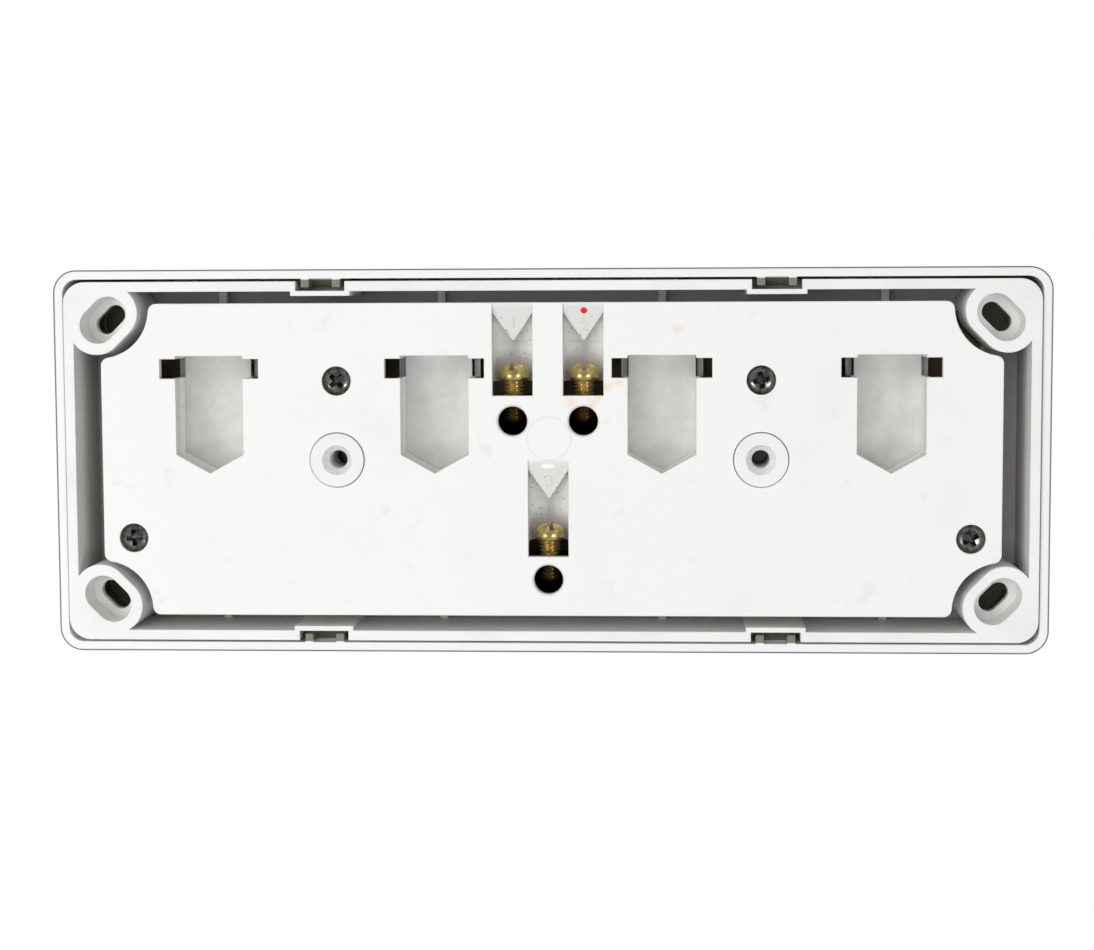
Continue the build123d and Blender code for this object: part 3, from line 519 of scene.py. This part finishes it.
def thread_rings(length, outer, root, pitch):
    """Rings of a thread that runs from its tapered tip up to a head's neck."""
    rings = []
    step = pitch / RINGS_PER_TURN
    tip = root * TIP_SHARE
    for row in range(int(length / step)):
        height = -length + row * step
        most = tip + (outer - tip) * min(1.0, row * step / TIP_TAPER)
        radii = []
        for i in range(RING_POINTS):
            phase = (height / pitch - i / RING_POINTS) % 1.0
            ridge = min(1.0, max(0.0, (1 - abs(2 * phase - 1) - THREAD_FLAT) / (1 - 2 * THREAD_FLAT)))
            radii.append(min(most, root + (outer - root) * ridge))
        rings.append(screw_ring(radii, height))
    return rings


def screw_blank(length, thread, head):
    """Screw of one length under its head, standing along Z with its seat at zero, without a recess."""
    heads = [screw_ring([radius] * RING_POINTS, height) for radius, height in head]
    return ring_mesh("turned", thread_rings(length, *thread) + heads)


def wedge(arm, head_height, turn):
    """Tapered slab that cuts one arm of a driver recess into a head."""
    length, width, low_length, low_width, top, bottom = arm
    points = []
    for long, wide, level in ((length, width, top), (low_length, low_width, bottom)):
        points += [(sx * long / 2 * MM, sy * wide / 2 * MM, (head_height + level) * MM)
                   for sx, sy in ((-1, -1), (1, -1), (1, 1), (-1, 1))]
    faces = [(0, 1, 2, 3), (7, 6, 5, 4), (0, 4, 5, 1), (1, 5, 6, 2), (2, 6, 7, 3), (3, 7, 4, 0)]
    mesh = bpy.data.meshes.new("wedge")
    mesh.from_pydata(points, [], faces)
    mesh.transform(Matrix.Rotation(turn, 4, "Z"))
    return mesh


def cut(mesh, cutters):
    """The mesh with its cutters taken away."""
    body = bpy.data.objects.new("cut_body", mesh)
    bpy.context.collection.objects.link(body)
    tools = []
    for cutter in cutters:
        tool = bpy.data.objects.new("cut_tool", cutter)
        bpy.context.collection.objects.link(tool)
        tools.append(tool)
        modifier = body.modifiers.new("cut", "BOOLEAN")
        modifier.operation = "DIFFERENCE"
        modifier.solver = "EXACT"
        modifier.object = tool
    graph = bpy.context.evaluated_depsgraph_get()
    result = bpy.data.meshes.new_from_object(body.evaluated_get(graph))
    for item in [body] + tools:
        bpy.data.objects.remove(item)
    return result


# Terminal screws, standing along Z with their threads in the tunnel blocks
for terminal, turn in TERMINAL_TURNS.items():
    node = f"{terminal}_terminal_screw"
    low, high = (Vector(corner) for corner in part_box(node))
    middle = (low + high) / 2
    head_height = TERMINAL_HEAD[-1][1]
    blank = screw_blank((high.z - low.z) / MM - head_height, TERMINAL_THREAD, TERMINAL_HEAD)
    mesh = cut(blank, [wedge(TERMINAL_SLOT, head_height, turn),
                       wedge(TERMINAL_CROSS, head_height, turn + math.pi / 2)])
    mesh.transform(Matrix.Translation((middle.x, middle.y, high.z - head_height * MM)))
    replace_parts(put_piece(f"{terminal}_threaded_screw", mesh, brass_material), node)

# Screws of the rear cover, their worn cross recesses towards the wall
for number, turn in enumerate(HOUSING_TURNS, 1):
    node = f"housing_screw_{number}"
    low, high = (Vector(corner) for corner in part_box(node))
    middle = (low + high) / 2
    head_height = HOUSING_HEAD[-1][1]
    blank = screw_blank((high.y - low.y) / MM - head_height, HOUSING_THREAD, HOUSING_HEAD)
    mesh = cut(blank, [wedge(HOUSING_CROSS, head_height, turn),
                       wedge(HOUSING_CROSS, head_height, turn + math.pi / 2)])
    mesh.transform(Matrix.Rotation(-math.pi / 2, 4, "X"))
    mesh.transform(Matrix.Translation((middle.x, high.y - head_height * MM, middle.z)))
    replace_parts(put_piece(f"cross_screw_{number}", mesh, steel_material), node)


def slope_point(x, z):
    """Point on a channel's sloping tongue that lies at one x and z, and the slope's normal."""
    graph = bpy.context.evaluated_depsgraph_get()
    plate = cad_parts["rear_cover"]
    inverse = plate.matrix_world.inverted()
    start = inverse @ mm(x, SEARCH_START, z)
    roomward = inverse.to_3x3() @ Vector((0, -1, 0))
    point, normal = plate.ray_cast(start, roomward, depsgraph=graph)[1:3]
    return plate.matrix_world @ point, (plate.matrix_world.to_3x3() @ normal).normalized()


def lay(mesh, x, z):
    """Turn a flat mesh so that it lies on the slope at one place, readable from the wall side."""
    point, normal = slope_point(x, z)
    up = (Vector((0, 0, 1)) - normal * normal.z).normalized()
    turn = Matrix((up.cross(normal), up, normal)).transposed().to_4x4()
    mesh.transform(Matrix.Translation(point) @ turn)


# Raised plain numbers on the slopes of the three terminals
for text, x, z in MARKS:
    curve = bpy.data.curves.new(f"mark_{text}", "FONT")
    curve.body = text
    curve.extrude = TEXT_EXTRUDE
    curve.bevel_depth = TEXT_BEVEL
    writer = bpy.data.objects.new("writer", curve)
    bpy.context.collection.objects.link(writer)
    graph = bpy.context.evaluated_depsgraph_get()
    mesh = bpy.data.meshes.new_from_object(writer.evaluated_get(graph))
    bpy.data.objects.remove(writer)
    heights = [vertex.co.y for vertex in mesh.vertices]
    widths = [vertex.co.x for vertex in mesh.vertices]
    middle = Vector(((max(widths) + min(widths)) / 2, (max(heights) + min(heights)) / 2, 0))
    grow = MARK_HEIGHT * MM / (max(heights) - min(heights))
    mesh.transform(Matrix.Translation(-middle))
    mesh.transform(Matrix.Diagonal((grow, grow, MARK_RAISE * MM / (TEXT_EXTRUDE + TEXT_BEVEL), 1)))
    lay(mesh, x, z)
    put_piece(f"mark_{text}", mesh, plate_material)


def dab(name, place, size, material):
    """Thin domed oval laid on a slope."""
    half_width, half_height, thickness = size
    rings = [[(share * half_width * cos, share * half_height * sin, rise * thickness)
              for cos, sin in circle(DAB_POINTS)] for share, rise in DAB_ROWS]
    mesh = ring_mesh(name, rings, closed_below=False)
    lay(mesh, *place)
    return put_piece(name, mesh, material)


dab("red_dot", RED_DOT_PLACE, RED_DOT_SIZE, red_material)
# Painted highlight: a small white dab on the earth terminal's slope
dab("highlight_dab", HIGHLIGHT_DAB_PLACE, HIGHLIGHT_DAB_SIZE, highlight_material)

# Backdrop: one sheet far in front of the room side
back_y = Vector(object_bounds()[0]).y - BACKDROP_GAP
mesh = bpy.data.meshes.new("backdrop")
mesh.from_pydata([(sx * BACKDROP_HALF, back_y, sz * BACKDROP_HALF)
                  for sx, sz in ((-1, 1), (1, 1), (1, -1), (-1, -1))], [], [(0, 1, 2, 3)])
mesh.materials.append(backdrop_material())
backdrop = bpy.data.objects.new("backdrop", mesh)
bpy.context.collection.objects.link(backdrop)

# World: soft white dome, dimmer behind the camera and brighter on the room side.
# The camera sees it in the backdrop's white.
world = bpy.data.worlds.new("studio")
bpy.context.scene.world = world
world.use_nodes = True
dome = Nodes(world.node_tree, "Generated")
wallward = dome.axes()["Y"]
round_light = dome.remap(wallward, 0.75, 0.97, DOME_LIGHT, DOME_BEHIND_CAMERA)
room_light = dome.remap(wallward, -0.1, -0.7, 0.0, DOME_ROOM_SIDE, "LINEAR")
strength = dome.add("ShaderNodeMix", {"Factor": dome.add("ShaderNodeLightPath").outputs["Is Camera Ray"],
                                      "A": dome.math("ADD", round_light, room_light), "B": 1.0})
dome.put(dome.tree.nodes["Background"].inputs["Strength"], strength.outputs["Result"])
dome.put(dome.tree.nodes["Background"].inputs["Color"], WHITE)

# Lamps, each one looking at the middle of the plate
for name, place_mm, size, watts, mirrored in LAMPS:
    light = bpy.data.lights.new(name, "AREA")
    light.size = size
    light.energy = watts
    item = bpy.data.objects.new(name, light)
    item.location = mm(*place_mm)
    item.rotation_euler = (-mm(*place_mm)).to_track_quat("-Z", "Y").to_euler()
    item.visible_glossy = mirrored
    bpy.context.collection.objects.link(item)

# Camera
camera_data = bpy.data.cameras.new("camera")
camera_data.sensor_fit = "HORIZONTAL"
camera_data.sensor_width = SENSOR_MM
camera_data.lens = SENSOR_MM * FOCAL_PIXELS / IMAGE_WIDTH
camera = bpy.data.objects.new("camera", camera_data)
camera.location = mm(*CAMERA_PLACE_MM)
look = (mm(*CAMERA_AIM_MM) - camera.location).to_track_quat("-Z", "Y")
camera.rotation_mode = "QUATERNION"
camera.rotation_quaternion = look @ Quaternion((0, 0, -1), math.radians(CAMERA_ROLL_DEG))
bpy.context.collection.objects.link(camera)
bpy.context.scene.camera = camera
bpy.context.scene.view_settings.view_transform = "Standard"
